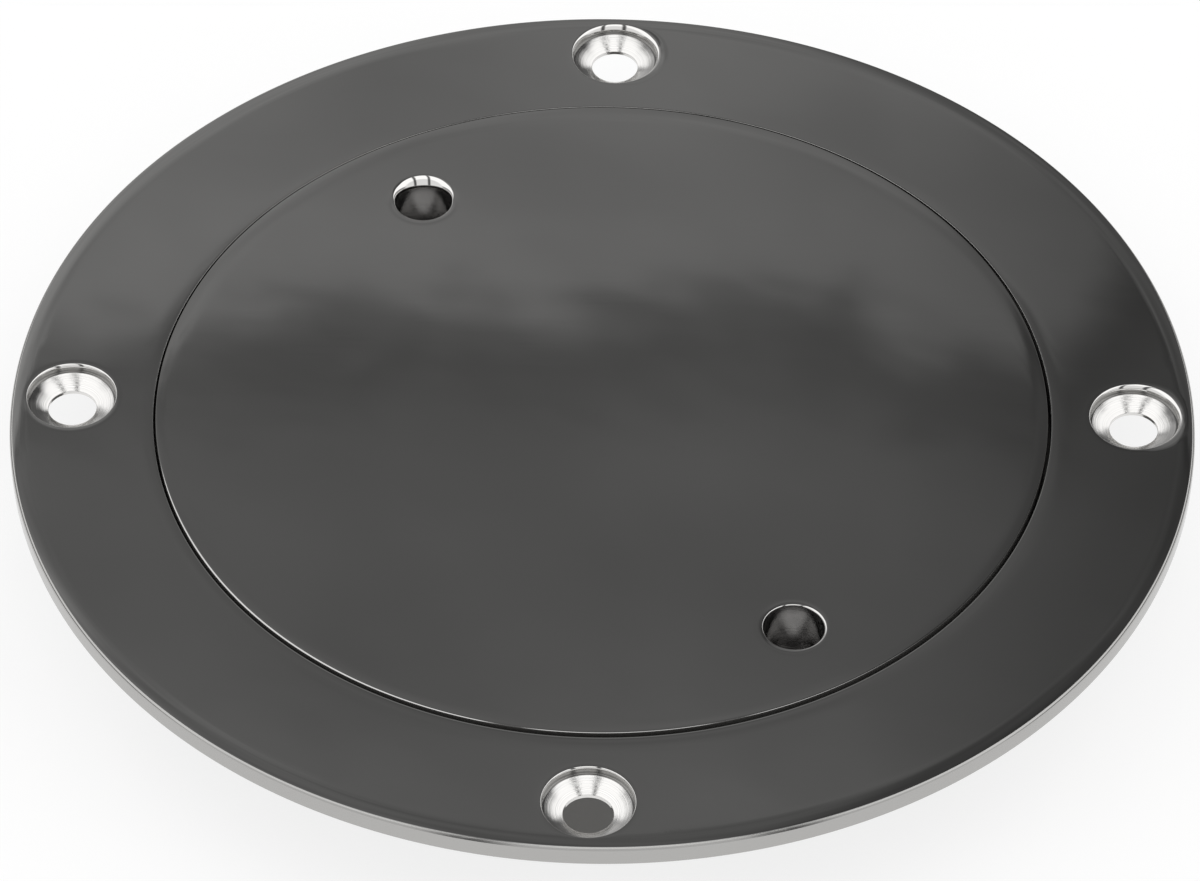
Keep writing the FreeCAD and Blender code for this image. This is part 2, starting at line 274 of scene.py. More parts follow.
def thread(root, crest, low, high, start, angles, finish):
    """A right-handed thread as a sheet. Row t climbs by one pitch in a turn, from the height t at
    the angle 0, and is held between low and high. The radius goes from root to crest with the
    section's height, which is no more than the distance to the nearer end over the run-out."""
    first = math.floor((low - start) / thread_pitch) - 2
    last = math.ceil((high - start) / thread_pitch) + 1
    turns = np.arange(first, last)[:, None] * thread_pitch
    row = (start + turns + THREAD_SECTION[:, 0]).reshape(-1, 1)
    ridge = np.tile(THREAD_SECTION[:, 1], len(turns))[:, None]
    height = np.clip(row + thread_pitch * angles / FULL_TURN, low, high)
    to_end = np.minimum(height - low, high - height)
    radius = root + (crest - root) * np.minimum(ridge, to_end / thread_run_out)
    return patch(radius * np.cos(angles), radius * np.sin(angles), height, row, finish)


def welded(name, patches, finishes):
    """A closed piece from its sheets, in metres: points that meet are merged, faces are turned
    outwards, and edges sharper than 40 degrees stay sharp in the smooth shading."""
    offsets = np.cumsum([0] + [len(points) for points, *_ in patches])
    points = np.concatenate([points for points, *_ in patches]) * MM
    faces = np.concatenate([faces + offset for (_, faces, *_), offset in zip(patches, offsets)])
    along = np.concatenate([flat for _, _, flat, _ in patches])
    finish = np.concatenate([np.full(len(faces), number) for _, faces, _, number in patches])
    mesh = bpy.data.meshes.new(name)
    mesh.from_pydata(points.tolist(), [], faces.tolist())
    mesh.uv_layers.new(name="profile").data.foreach_set("uv", along[faces.ravel()].ravel())
    mesh.polygons.foreach_set("material_index", finish)
    for material in finishes:
        mesh.materials.append(material)
    body = bmesh.new()
    body.from_mesh(mesh)
    bmesh.ops.remove_doubles(body, verts=body.verts, dist=MM * 0.001)
    bmesh.ops.recalc_face_normals(body, faces=body.faces)
    body.to_mesh(mesh)
    body.free()
    mesh.shade_smooth()
    mesh.set_sharp_from_angle(angle=math.radians(40))
    piece = bpy.data.objects.new(name, mesh)
    bpy.context.scene.collection.objects.link(piece)
    return piece


def add_node(tree, kind, values=None, **settings):
    """A shader node with its settings and input values. A value that is a socket is linked."""
    node = tree.nodes.new(kind)
    for setting, value in settings.items():
        setattr(node, setting, value)
    for socket, value in (values or {}).items():
        if isinstance(value, bpy.types.NodeSocket):
            tree.links.new(value, node.inputs[socket])
        else:
            node.inputs[socket].default_value = value
    return node


def effect(name, inputs, outputs):
    """An empty node group with number inputs and their usual values, and the outputs named."""
    tree = bpy.data.node_groups.new(name, "ShaderNodeTree")
    for socket, value in inputs.items():
        new = tree.interface.new_socket(socket, in_out="INPUT", socket_type="NodeSocketFloat")
        new.default_value = value
    for socket, kind in outputs.items():
        tree.interface.new_socket(socket, in_out="OUTPUT", socket_type=kind)
    return tree, tree.nodes.new("NodeGroupInput").outputs, tree.nodes.new("NodeGroupOutput")


# What a polishing wheel leaves: slow waves in the surface and hairlines too fine to see singly,
# which only change how sharply the metal mirrors.
polish, given, result = effect(
    "wheel_polish",
    {"Wave height": 2e-5, "Wave scale": 40.0, "Roughness": 0.03},
    {"Normal": "NodeSocketVector", "Roughness": "NodeSocketFloat"},
)
place = add_node(polish, "ShaderNodeTexCoord").outputs["Object"]
waves = add_node(
    polish, "ShaderNodeTexNoise", {"Vector": place, "Scale": given["Wave scale"], "Detail": 1.0}
)
bump = add_node(
    polish, "ShaderNodeBump", {"Height": waves.outputs["Fac"], "Distance": given["Wave height"]}
)
lines = add_node(
    polish, "ShaderNodeMapping", {"Vector": place, "Rotation": (0, 0, 0.6), "Scale": (90, 4000, 90)}
)
hairlines = add_node(
    polish, "ShaderNodeTexNoise", {"Vector": lines.outputs["Vector"], "Scale": 1.0, "Detail": 2.0}
)
spread_out = add_node(
    polish, "ShaderNodeMapRange", {"Value": hairlines.outputs["Fac"], "To Min": 0.6, "To Max": 1.4}
)
rough = add_node(
    polish, "ShaderNodeMath", {0: spread_out.outputs["Result"], 1: given["Roughness"]},
    operation="MULTIPLY",
)
polish.links.new(bump.outputs["Normal"], result.inputs["Normal"])
polish.links.new(rough.outputs["Value"], result.inputs["Roughness"])

# What a lathe leaves: fine ridges side by side along the profile, each one running round the axis.
turning, given, result = effect(
    "turning_marks",
    {"Ridge height": 4e-6, "Ridges per mm": 9.0, "Roughness": 0.2},
    {"Normal": "NodeSocketVector", "Roughness": "NodeSocketFloat", "Shade": "NodeSocketFloat"},
)
profile_map = add_node(turning, "ShaderNodeUVMap", uv_map="profile").outputs["UV"]
distance = add_node(turning, "ShaderNodeSeparateXYZ", {0: profile_map}).outputs["Y"]
ridges = add_node(
    turning, "ShaderNodeTexNoise",
    {"W": distance, "Scale": given["Ridges per mm"], "Detail": 2.0, "Roughness": 0.6},
    noise_dimensions="1D",
)
bump = add_node(
    turning, "ShaderNodeBump", {"Height": ridges.outputs["Fac"], "Distance": given["Ridge height"]}
)
shade = add_node(
    turning, "ShaderNodeMapRange", {"Value": ridges.outputs["Fac"], "To Min": 0.75, "To Max": 1.2}
)
rough = add_node(
    turning, "ShaderNodeMath", {0: shade.outputs["Result"], 1: given["Roughness"]},
    operation="MULTIPLY",
)
turning.links.new(bump.outputs["Normal"], result.inputs["Normal"])
turning.links.new(rough.outputs["Value"], result.inputs["Roughness"])
turning.links.new(shade.outputs["Result"], result.inputs["Shade"])

# What blasting leaves on a casting: small pits everywhere over the slow unevenness of the mould.
blasting, given, result = effect(
    "blasted_skin",
    {"Pit depth": 2e-5, "Pit scale": 2500.0, "Roughness": 0.5},
    {"Normal": "NodeSocketVector", "Roughness": "NodeSocketFloat", "Shade": "NodeSocketFloat"},
)
place = add_node(blasting, "ShaderNodeTexCoord").outputs["Object"]
pits = add_node(
    blasting, "ShaderNodeTexNoise", {"Vector": place, "Scale": given["Pit scale"], "Detail": 3.0}
)
mould = add_node(blasting, "ShaderNodeTexNoise", {"Vector": place, "Scale": 120.0, "Detail": 4.0})
bump = add_node(
    blasting, "ShaderNodeBump", {"Height": pits.outputs["Fac"], "Distance": given["Pit depth"]}
)
bump_mould = add_node(
    blasting, "ShaderNodeBump",
    {"Height": mould.outputs["Fac"], "Distance": 2e-4, "Normal": bump.outputs["Normal"]},
)
shade = add_node(
    blasting, "ShaderNodeMapRange", {"Value": mould.outputs["Fac"], "To Min": 0.8, "To Max": 1.15}
)
rough = add_node(
    blasting, "ShaderNodeMath", {0: shade.outputs["Result"], 1: given["Roughness"]},
    operation="MULTIPLY",
)
blasting.links.new(bump_mould.outputs["Normal"], result.inputs["Normal"])
blasting.links.new(rough.outputs["Value"], result.inputs["Roughness"])
blasting.links.new(shade.outputs["Result"], result.inputs["Shade"])


def steel(name, colour, surface, metallic=1.0, **values):
    """A stainless steel material: bare metal in its colour, with the surface that an effect gives.
    Less than wholly metallic, it is a casting's dull skin, darkened further as painted shade, or
    the seam's walls, painted near black as the gap's shade."""
    material = bpy.data.materials.new(name)
    material.use_nodes = True
    tree = material.node_tree
    metal = tree.nodes["Principled BSDF"]
    metal.inputs["Metallic"].default_value = metallic
    metal.inputs["Base Color"].default_value = (*colour, 1)
    marks = add_node(tree, "ShaderNodeGroup", node_tree=surface)
    for socket, value in values.items():
        marks.inputs[socket.replace("_", " ")].default_value = value
    tree.links.new(marks.outputs["Normal"], metal.inputs["Normal"])
    tree.links.new(marks.outputs["Roughness"], metal.inputs["Roughness"])
    if "Shade" in marks.outputs:
        shaded = add_node(
            tree, "ShaderNodeVectorMath", {0: colour, "Scale": marks.outputs["Shade"]},
            operation="SCALE",
        )
        tree.links.new(shaded.outputs["Vector"], metal.inputs["Base Color"])
    return material


# The seam's two walls are painted near black and not metallic: a painted shade for the narrow gap
# between lid and flange.
flange_finishes = [
    steel("polished_plate", (0.56, 0.555, 0.545), polish),
    # The turned steel's colour is paler than the steel's own: a painted highlight that shows the
    # bore, thread and screw holes' cones bright.
    steel("turned_bore", (0.8, 0.79, 0.775), turning, Ridge_height=8e-6, Roughness=0.09),
    # The blasted skin's dark colour is partly its dull cast skin and partly painted shade, for the
    # collar and underside in the flange's shadow.
    steel("blasted_underside", (0.17, 0.167, 0.16), blasting, metallic=0.35, Roughness=0.6),
    # The outer side and its rounded corner take a darker copy of the polished steel: painted shade
    # on the side.
    steel("polished_edge", (0.44, 0.435, 0.425), polish, Roughness=0.15),
    # The rolled edges round the screw and key holes take a paler copy of the polished steel: a
    # painted highlight.
    steel("polished_rim", (0.8, 0.79, 0.775), polish),
    steel("dulled_seam", (0.06, 0.058, 0.055), blasting, metallic=0.0, Roughness=0.7),
    # The screw holes' step walls and the pocket's rounded edge take a darker copy of the turned
    # steel: painted shade.
    steel("turned_step", (0.42, 0.415, 0.405), turning, Roughness=0.2),
]

flange_ring, hole_sectors, flange_stretches = ring_parts(0, 4, 9, 0.5, 1)
hole_centres = screw_circle * np.array([(1, 0), (0, 1), (-1, 0), (0, -1)])

# The least width and drop of a screw hole's rolled edge, what the drag adds to them at the right
# and the far hole, and for the right, far, left and near hole the most of both, and where it is.
hole_edge_width = 0.12
hole_edge_drop = 0.15
drag_edge_width = 0.35
drag_edge_drop = 0.1
hole_edge_most = [
    (0.45, 0.5, math.radians(70)),
    (0.65, 0.7, math.radians(90)),
    (0.3, 0.35, math.radians(95)),
    (0.15, 0.2, math.radians(120)),
]

# The sectors round the holes lie in the hole band. Inside and outside it the top is whole rings.
hole_band = np.linspace(56.4, 69.3, 22)
seam_steps = [pocket_edge_radius, 0.2, 0.4, 0.65, 0.95, 1.3, 1.7, 2.15, 2.6, 2.95, 3.3]
seam_band = pocket_radius + np.array(seam_steps)
outer_band = np.array([hole_band[-1], 69.45, corner_arc[-1, 0]])
countersink_floor = plate_top - countersink_rim_depth
step_profile = rounded_profile([
    (countersink_rim_radius, plate_top, 0),
    (countersink_rim_radius, countersink_floor, 0.05),
    (countersink_radius, countersink_floor, 0),
])
countersink_profile = rounded_profile([
    (countersink_radius, countersink_floor, 0),
    (screw_hole_radius, countersink_floor - countersink_depth, 0.08),
    (screw_hole_radius, 0, fine_edge_radius),
    (screw_hole_radius + fine_edge_radius, 0, 0),
])


def ring_of(radii, angles, height, finish):
    """A ring, or a part of one, whose rows are circles about the plate's axis."""
    radius = radii[:, None]
    return spread(radius * np.cos(angles), radius * np.sin(angles), height, finish)


def deck_line(x, y):
    """Height of the flange's underside: level with the deck."""
    return 0 * x * y


flange_patches = [
    ring_of(seam_band, flange_ring, plate_height, POLISHED),
    ring_of(outer_band, flange_ring, plate_height, POLISHED),
]
for stretch in flange_stretches:
    flange_patches.append(ring_of(hole_band, stretch, plate_height, POLISHED))
    flange_patches.append(ring_of(hole_band, stretch, deck_line, BLASTED))
for centre, sector, most in zip(hole_centres, hole_sectors, hole_edge_most):
    rays = rays_from(centre, sector_edge(hole_band, sector))
    far = np.clip(np.cos(rays[0] - most[2]), 0, 1)
    dragged = np.clip(np.cos(rays[0] - hole_drag_angle), 0, 1) ** 2 * (centre.sum() > 0)
    width = hole_edge_width + (most[0] - hole_edge_width) * far + drag_edge_width * dragged
    drop = hole_edge_drop + (most[1] - hole_edge_drop) * far + drag_edge_drop * dragged
    start, rim, edge = rolled_edge(
        centre, rays, countersink_rim_radius, width, drop, plate_height
    )
    top_rings = start + np.array([[0, 0.04, 0.12, 0.25, 0.42, 0.65, 0.9]]).T
    under_rings = countersink_profile[-1, 0] + np.array([[0, 0.2]]).T
    flange_patches += [
        around_hole(centre, rays, top_rings, plate_height, POLISHED),
        edge,
        turned(step_profile, rays[0], STEP, centre, rim, countersink_floor),
        turned(countersink_profile, rays[0], TURNED, centre),
        around_hole(centre, rays, under_rings, deck_line, BLASTED),
    ]

seam_rim = plate_height(seam_band[0] * np.cos(flange_ring), seam_band[0] * np.sin(flange_ring))
seam_wall_top = plate_top - 0.3
pocket_edge_profile = rounded_profile([
    (pocket_radius + pocket_edge_radius, plate_top, 0),
    (pocket_radius, plate_top, pocket_edge_radius),
    (pocket_radius, seam_wall_top, 0),
])
pocket_wall_profile = rounded_profile([
    (pocket_radius, seam_wall_top, 0),
    (pocket_radius, ledge_height, fine_edge_radius),
    (ledge_middle, ledge_height, 0),
])
seal_bore_profile = rounded_profile([
    (ledge_middle, ledge_height, 0),
    (seal_bore_radius + ledge_lead_in, ledge_height, 0.05),
    (seal_bore_radius, ledge_height - ledge_lead_in, 0.05),
    (seal_bore_radius, seal_bore_bottom, fine_edge_radius),
    (bore_radius, bore_top, 0),
])
thread_low = collar_bottom + collar_chamfer
collar_wall_bottom = thread_low + 0.6
collar_end_profile = rounded_profile([
    (bore_radius, thread_low, 0),
    (bore_radius + collar_chamfer, collar_bottom, fine_edge_radius),
    (collar_radius - collar_chamfer, collar_bottom, fine_edge_radius),
    (collar_radius, thread_low, fine_edge_radius),
    (collar_radius, collar_wall_bottom, 0),
])
collar_profile = rounded_profile([
    (collar_radius, collar_wall_bottom, 0),
    (collar_radius, 0, collar_fillet),
    (hole_band[0], 0, 0),
])
side_profile = rounded_profile([
    (hole_band[-1], 0, 0),
    (flange_radius, 0, lower_edge_radius),
    (flange_radius, corner_centre_height, 0),
])
flange_patches += [
    turned(pocket_edge_profile, flange_ring, STEP, rim=seam_rim, floor=seam_wall_top),
    turned(pocket_wall_profile, flange_ring, SEAM),
    turned(seal_bore_profile, flange_ring, TURNED),
    thread(
        bore_radius, bore_crest_radius, thread_low, bore_top, thread_pitch / 2, flange_ring, TURNED
    ),
    turned(collar_end_profile, flange_ring, TURNED),
    turned(collar_profile, flange_ring, BLASTED),
    turned(np.concatenate([side_profile, corner_arc[1:]]), flange_ring, EDGE),
]
flange = welded("inspection_plate_flange", flange_patches, flange_finishes)
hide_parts("deck_flange")
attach(flange, "flange")

# O-ring. A ring of black rubber, squeezed in the groove on the lid's neck, that keeps water out of
# the bore. It is moulded in two halves, so a fine seam line runs round it inside and out.
ring_low, ring_high = (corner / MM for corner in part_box("lid_o_ring"))
ring_outer = ring_high.x
ring_inner = 49.1
ring_rounding = 0.93
seam_line_height = 0.03
seam_line_half_width = 0.05
ring_middle = (ring_low.z + ring_high.z) / 2
ring_flat_outer = ring_outer - seam_line_height
ring_flat_inner = ring_inner + seam_line_height
ring_profile = rounded_profile([
    (ring_inner, ring_middle, 0),
    (ring_flat_inner, ring_middle + seam_line_half_width, 0),
    (ring_flat_inner, ring_high.z, ring_rounding),
    (ring_flat_outer, ring_high.z, ring_rounding),
    (ring_flat_outer, ring_middle + seam_line_half_width, 0),
    (ring_outer, ring_middle, 0),
    (ring_flat_outer, ring_middle - seam_line_half_width, 0),
    (ring_flat_outer, ring_low.z, ring_rounding),
    (ring_flat_inner, ring_low.z, ring_rounding),
    (ring_flat_inner, ring_middle - seam_line_half_width, 0),
    (ring_inner, ring_middle, 0),
], steps=8)

rubber = bpy.data.materials.new("black_rubber")
rubber.use_nodes = True
rubber_tree = rubber.node_tree
rubber_shader = rubber_tree.nodes["Principled BSDF"]
rubber_place = add_node(rubber_tree, "ShaderNodeTexCoord").outputs["Object"]
bloom = add_node(
    rubber_tree, "ShaderNodeTexNoise", {"Vector": rubber_place, "Scale": 250.0, "Detail": 4.0}
).outputs["Fac"]
grain = add_node(
    rubber_tree, "ShaderNodeTexNoise", {"Vector": rubber_place, "Scale": 6000.0, "Detail": 2.0}
).outputs["Fac"]
rubber_tree.links.new(
    add_node(
        rubber_tree, "ShaderNodeMapRange", {"Value": bloom, "To Min": 0.42, "To Max": 0.62}
    ).outputs["Result"],
    rubber_shader.inputs["Roughness"],
)
rubber_tree.links.new(
    add_node(rubber_tree, "ShaderNodeBump", {"Height": grain, "Distance": 6e-6}).outputs["Normal"],
    rubber_shader.inputs["Normal"],
)
rubber_colour = add_node(rubber_tree, "ShaderNodeValToRGB", {"Fac": bloom})
rubber_colour.color_ramp.elements[0].color = (0.012, 0.012, 0.012, 1)
rubber_colour.color_ramp.elements[0].position = 0.35
rubber_colour.color_ramp.elements[1].color = (0.03, 0.03, 0.031, 1)
rubber_colour.color_ramp.elements[1].position = 0.75
rubber_tree.links.new(rubber_colour.outputs["Color"], rubber_shader.inputs["Base Color"])

ring_angles = np.linspace(0, FULL_TURN, 361)
o_ring = welded("lid_seal_ring", [turned(ring_profile, ring_angles, 0)], [rubber])
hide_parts("lid_o_ring")
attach(o_ring, "seal_ring")

# Screw lid. A flush round lid with two blind holes for a pin key, and under it a neck with the
# O-ring's groove and a threaded skirt: one stainless steel casting. Its top is mirror-polished, the
# neck and thread are turned, the key holes drilled, and the inside is left as it was blasted.
lid_radius = flange_radius - border_width
lid_bottom = (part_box("screw_lid")[0] / MM).z
neck_radius = 50.9
groove_radius = 49.0
groove_top = -1.2
groove_bottom = -4.2
neck_bottom = -5.0
skirt_radius = 49.75
skirt_inner_radius = 46.6
skirt_chamfer = 0.5
skirt_fillet = 2.0
key_mount = mounts["key_hole_a"]
key_place = np.array(key_mount["pos_m"][:2]) / MM
key_radius = key_mount["dims"]["r_mm"]
key_floor = key_mount["pos_m"][2] / MM - key_mount["dims"]["length_mm"] / 2
# The round on a key hole's upper edge grows from the least to the most towards one side, the far
# one at the first hole and the right one at the second.
key_edge_least = 0.1
key_edge_most = (1.25, 0.4)
key_edge_angle = (math.radians(95), math.radians(-10))
drill_point_slope = 0.6
key_point = key_floor - key_radius * drill_point_slope
rim_edge_radius = 0.05
# The rim was turned a little off the thread's axis, so the seam is widest at the near side.
rim_shift = (-0.08, 0.27)
key_wheel_drop = 0.02
key_wheel_reach = 0.9
# The wheel's fall at the rim is whole at the far side and this share of it at the near side. There
# the wheel has also rolled over the rim's upper edge, most of all at the near left.
rim_fall_least = 0.3
rim_roll_drop = 0.16
rim_roll_reach = 0.3
rim_roll_least = 0.16
rim_roll_angle = math.radians(218)
boss_radius = 5.5
boss_floor = 1.2
boss_depth = ledge_height - key_point + boss_floor
boss_edge_radius = 0.8
boss_draft = 0.12
boss_root_radius = 1.0
boss_profile = rounded_profile([
    (0, boss_depth, 0),
    (boss_radius, boss_depth, boss_edge_radius),
    (boss_radius + boss_draft, 0, boss_root_radius),
    (boss_radius + boss_root_radius + 0.5, 0, 0),
])


def lid_height(x, y):
    """Height of the lid's top: level, less the wheel's fall at its rim, less the rolled edge of the
    near side, which grows with the eighth power of the cosine of the angle from its middle, and
    less the wheel's fall round the nearer of the two key holes, which lie opposite each other."""
    radius = np.maximum(np.hypot(x, y), 1)
    key_distance = np.minimum(
        np.hypot(x - key_place[0], y - key_place[1]), np.hypot(x + key_place[0], y + key_place[1])
    ) - key_radius - key_edge_least
    far_share = (1 + y / radius) / 2
    rim_drop = seam_wheel_drop * (rim_fall_least + (1 - rim_fall_least) * far_share)
    rim_fall = wheel_fall(lid_radius - radius, rim_drop, seam_wheel_reach)
    from_middle = np.clip(np.cos(np.arctan2(y, x) - rim_roll_angle), 0, 1)
    near_half = np.clip(-2 * y / radius, 0, 1)
    roll_drop = rim_roll_drop * (rim_roll_least + (1 - rim_roll_least) * from_middle**8) * near_half
    roll = wheel_fall(lid_radius - radius, roll_drop, rim_roll_reach)
    key_fall = wheel_fall(key_distance, key_wheel_drop, key_wheel_reach)
    return plate_top - rim_fall - roll - key_fall


def off_axis(radius):
    """How far a ring of the lid of this radius lies off the thread's axis, in x and y: not at all
    at the neck, and by the whole shift at the rim."""
    share = np.clip((radius - neck_radius) / (lid_radius - neck_radius), 0, 1)
    return rim_shift[0] * share, rim_shift[1] * share


def inside_height(x, y):
    """Height of the disc's underside: level, less the larger of two shapes, the boss under the
    nearer key hole, by its profile over the distance, and the round fillet against the skirt."""
    boss_distance = np.minimum(
        np.hypot(x - key_place[0], y - key_place[1]), np.hypot(x + key_place[0], y + key_place[1])
    )
    boss = np.interp(boss_distance, boss_profile[:, 0], boss_profile[:, 1])
    past_start = np.clip(np.hypot(x, y) - skirt_inner_radius + skirt_fillet, 0, skirt_fillet)
    fillet = skirt_fillet - np.sqrt(skirt_fillet**2 - past_start**2)
    return ledge_height - np.maximum(boss, fillet)


DRILLED = EDGE  # The lid's finishes hold the drilled one where the flange's hold that of its edge.
key_angle = math.degrees(math.atan2(key_place[1], key_place[0]))
lid_ring, key_sectors, lid_stretches = ring_parts(key_angle, 2, 15, 0.5, 1)
disc_band = np.linspace(0, 34, 9)
key_band = np.linspace(34, 49.5, 26)
rim_steps = [
    3.25, 2.85, 2.4, 2.0, 1.6, 1.25, 0.9, 0.6, 0.4, 0.28, 0.22, 0.17, 0.13, 0.09, rim_edge_radius,
]
rim_band = lid_radius - np.array(rim_steps)
fillet_steps = np.sin(np.linspace(0, math.pi / 2, 8))[1:] * skirt_fillet
inside_band = np.concatenate([
    np.linspace(34, skirt_inner_radius - skirt_fillet, 18),
    skirt_inner_radius - skirt_fillet + fillet_steps,
])
key_wall_top = 1.2
key_wall_profile = np.array([
    (key_radius, plate_top),
    *[(key_radius, height) for height in np.linspace(key_wall_top, key_floor, 7)],
    (key_radius / 2, (key_floor + key_point) / 2),
    (0, key_point),
])
rim_cosine, rim_sine = np.cos(lid_ring), np.sin(lid_ring)
rim_x, rim_y = rim_band[:, None] * rim_cosine, rim_band[:, None] * rim_sine
rim_height = lid_height(rim_x, rim_y)
shift_x, shift_y = off_axis(rim_band[:, None])
lid_patches = [
    ring_of(disc_band, lid_ring, lid_height, POLISHED),
    patch(rim_x + shift_x, rim_y + shift_y, rim_height, rim_band[:, None], POLISHED),
    ring_of(disc_band, lid_ring, inside_height, BLASTED),
]
for stretch in lid_stretches:
    lid_patches.append(ring_of(key_band, stretch, lid_height, POLISHED))
    lid_patches.append(ring_of(inside_band, stretch, inside_height, BLASTED))
key_holes = zip((key_place, -key_place), key_sectors, key_edge_most, key_edge_angle)
for place, sector, most, widest_angle in key_holes:
    rays = rays_from(place, sector_edge(key_band, sector))
    towards_widest = np.clip(np.cos(rays[0] - widest_angle), 0, 1)
    roll = key_edge_least + (most - key_edge_least) * towards_widest
    start, rim, edge = rolled_edge(place, rays, key_radius, roll, roll, lid_height)
    rings = start + np.array([[0, 0.05, 0.12, 0.25, 0.45, 0.75, 1.1]]).T
    boss_rays = rays_from(place, sector_edge(inside_band, sector))
    lid_patches += [
        around_hole(place, rays, rings, lid_height, POLISHED),
        edge,
        turned(key_wall_profile, rays[0], DRILLED, place, rim, key_wall_top),
        around_hole(place, boss_rays, boss_profile[:, :1], inside_height, BLASTED),
    ]

thread_high = neck_bottom - 0.2
skirt_thread_low = lid_bottom + skirt_chamfer
skirt_wall_bottom = lid_bottom + 0.4
rim_wall_bottom = ledge_height + 0.4
rim_wall_profile = rounded_profile([
    (lid_radius - rim_edge_radius, plate_top, 0),
    (lid_radius, plate_top, rim_edge_radius),
    (lid_radius, rim_wall_bottom, 0),
])
neck_profile = rounded_profile([
    (lid_radius, rim_wall_bottom, 0),
    (lid_radius, ledge_height, fine_edge_radius),
    (neck_radius, ledge_height, fine_edge_radius),
    (neck_radius, groove_top, 0.08),
    (groove_radius, groove_top, 0.2),
    (groove_radius, groove_bottom, 0.2),
    (neck_radius, groove_bottom, 0.08),
    (neck_radius, neck_bottom, fine_edge_radius),
    (skirt_radius, neck_bottom, 0.19),
    (skirt_radius, thread_high, 0),
])
skirt_end_profile = rounded_profile([
    (skirt_radius, skirt_thread_low, 0),
    (skirt_radius - skirt_chamfer, lid_bottom, fine_edge_radius),
    (skirt_inner_radius, lid_bottom, 0.15),
    (skirt_inner_radius, skirt_wall_bottom, 0),
])
inner_wall_profile = np.stack([
    np.full(13, skirt_inner_radius),
    np.linspace(ledge_height - skirt_fillet, skirt_wall_bottom, 13),
], axis=1)
lid_patches += [
    turned(
        rim_wall_profile, lid_ring, SEAM, off_axis(rim_wall_profile[:, :1]), rim_height[-1],
        rim_wall_bottom,
    ),
    turned(neck_profile, lid_ring, TURNED, off_axis(neck_profile[:, :1])),
    thread(
        skirt_radius, skirt_radius + thread_depth, skirt_thread_low, thread_high, 0, lid_ring,
        TURNED,
    ),
    turned(skirt_end_profile, lid_ring, TURNED),
    turned(
        inner_wall_profile, lid_ring, BLASTED,
        rim=inside_height(skirt_inner_radius * rim_cosine, skirt_inner_radius * rim_sine),
        floor=skirt_wall_bottom,
    ),
]
lid_finishes = [
    steel("polished_lid", (0.56, 0.555, 0.545), polish),
    flange_finishes[TURNED],
    flange_finishes[BLASTED],
    # The key holes' walls take a darker copy of the turned steel: painted shade inside the holes.
    steel(
        "drilled_key_hole", (0.43, 0.425, 0.42), turning, Ridge_height=1e-5, Ridges_per_mm=0.9,
        Roughness=0.22,
    ),
    flange_finishes[RIM],
    flange_finishes[SEAM],
]
lid = welded("inspection_plate_lid", lid_patches, lid_finishes)
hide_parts("screw_lid")
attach(lid, "lid")

# Floor. A plain pale sheet on which the plate stands on its collar. To the camera and in what the
# metal mirrors it is white, and it keeps the plate's shadow. From below it is looked through.
floor_gap = 0.02
floor_mesh = bpy.data.meshes.new("floor")
floor_corners = [(-4, -4), (4, -4), (4, 4), (-4, 4)]
floor_height = (collar_bottom - floor_gap) * MM
floor_mesh.from_pydata([(x, y, floor_height) for x, y in floor_corners], [], [(0, 1, 2, 3)])
floor = bpy.data.objects.new("floor", floor_mesh)
bpy.context.scene.collection.objects.link(floor)
floor_material = bpy.data.materials.new("pale_floor")
floor_material.use_nodes = True
floor_tree = floor_material.node_tree
floor_tree.nodes.clear()
card = add_node(floor_tree, "ShaderNodeBsdfDiffuse", {"Color": (0.8, 0.8, 0.8, 1)})
glow = add_node(floor_tree, "ShaderNodeEmission", {"Strength": 1.15})
rays = add_node(floor_tree, "ShaderNodeLightPath").outputs
seen = add_node(
    floor_tree, "ShaderNodeMath", {0: rays["Is Camera Ray"], 1: rays["Is Glossy Ray"]},
    operation="MAXIMUM",
)
seen = add_node(
    floor_tree, "ShaderNodeMath", {0: seen.outputs[0], 1: rays["Is Transmission Ray"]},
    operation="MAXIMUM",
)
# Seven tenths of what is seen is its own white, and the rest still takes the shadow.
share = add_node(floor_tree, "ShaderNodeMath", {0: seen.outputs[0], 1: 0.7}, operation="MULTIPLY")
floor_top = add_node(
    floor_tree, "ShaderNodeMixShader",
    {0: share.outputs[0], 1: card.outputs[0], 2: glow.outputs[0]},
)
clear = add_node(floor_tree, "ShaderNodeBsdfTransparent")
underneath = add_node(floor_tree, "ShaderNodeNewGeometry").outputs["Backfacing"]
floor_surface = add_node(
    floor_tree, "ShaderNodeMixShader", {0: underneath, 1: floor_top.outputs[0], 2: clear.outputs[0]}
)
add_node(floor_tree, "ShaderNodeOutputMaterial", {"Surface": floor_surface.outputs[0]})
floor_mesh.materials.append(floor_material)

# Studio. Soft pale light from all round, parted by two upright dark gaps. Beyond the plate stands
# a dark screen, which the polished top mirrors: paler at the left than at the right, with a cloudy
# pale bank across its lower half. Above it hang bright panels, which the rounded edges mirror.
world = bpy.data.worlds.new("studio")
world.use_nodes = True
bpy.context.scene.world = world
sky = world.node_tree
sky.nodes.clear()


def graded(value, stops):
    """An output that runs in straight lines through stops of (input, output)."""
    low, high = stops[0][0], stops[-1][0]
    peak = max(level for _, level in stops)
    share = add_node(sky, "ShaderNodeMapRange", {"Value": value, "From Min": low, "From Max": high})
    ramp = add_node(sky, "ShaderNodeValToRGB", {"Fac": share.outputs["Result"]})
    points = ramp.color_ramp.elements
    points[0].color = (*[stops[0][1] / peak] * 3, 1)
    points[1].color = (*[stops[-1][1] / peak] * 3, 1)
    for at, level in stops[1:-1]:
        points.new((at - low) / (high - low)).color = (*[level / peak] * 3, 1)
    return scaled(ramp.outputs["Color"], peak)


def scaled(value, by):
    """One output times another output or a number."""
    return add_node(sky, "ShaderNodeMath", {0: value, 1: by}, operation="MULTIPLY").outputs[0]


